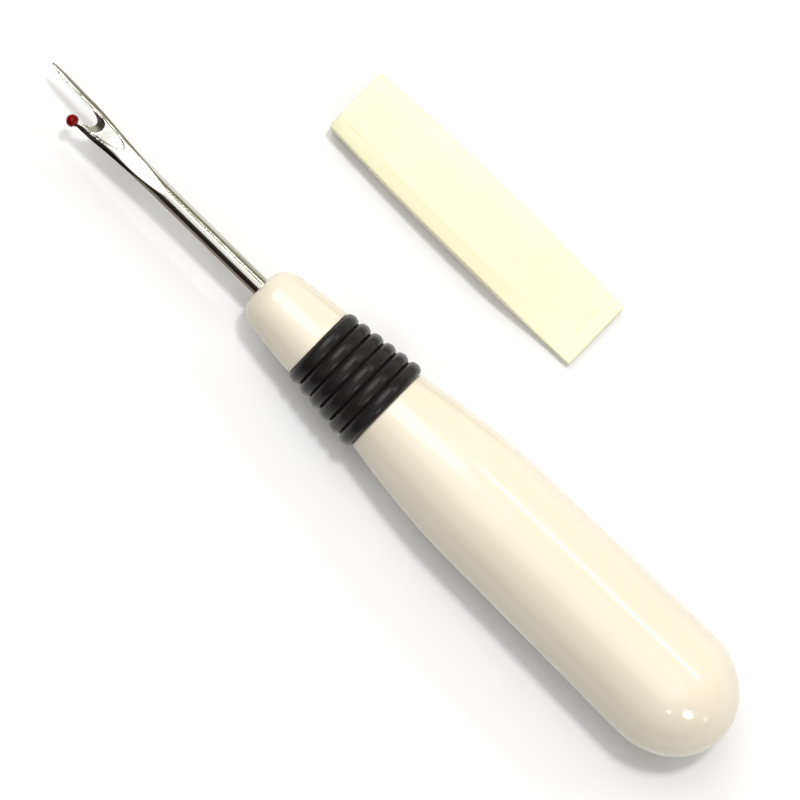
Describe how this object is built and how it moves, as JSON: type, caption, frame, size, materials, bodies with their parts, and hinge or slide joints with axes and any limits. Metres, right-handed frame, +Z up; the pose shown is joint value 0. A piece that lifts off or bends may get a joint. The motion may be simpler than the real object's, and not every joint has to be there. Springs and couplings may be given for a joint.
{
  "type": "seam ripper",
  "caption": "Seam ripper with a forked steel blade, red safety bead, rubber ring grip and round-ended handle, lying beside its soft flat slip-on cap.",
  "frame": {"origin": "middle of the whole object's base, on the table it lies on", "axes": "+Z up from the table; +X along the tool, from the butt towards the point; the cap lies on the -Y side"},
  "size_m": [0.14, 0.0462, 0.0202],
  "materials": {
    "steel": "bright drawn wire, ground flats, polished",
    "red_bead": "deep red gloss",
    "ivory": "ivory moulded plastic, high gloss",
    "black_rubber": "black rubber, soft sheen",
    "soft_cap": "soft translucent pale yellow vinyl, satin"
  },
  "bodies": {
    "tool": {"blade": "steel", "point_ball": "red_bead", "nose_collar": "ivory", "grip_ring_1": "black_rubber", "grip_ring_2": "black_rubber", "grip_ring_3": "black_rubber", "grip_ring_4": "black_rubber", "grip_ring_5": "black_rubber", "grip_ring_6": "black_rubber", "handle_body": "ivory"},
    "cap": {"cap": "soft_cap"}
  },
  "joints": [
    {"name": "cap_slide", "type": "slide", "parent": "tool", "child": "cap", "axis": [1, 0, 0], "range_m": [0, 0.087]}
  ]
}
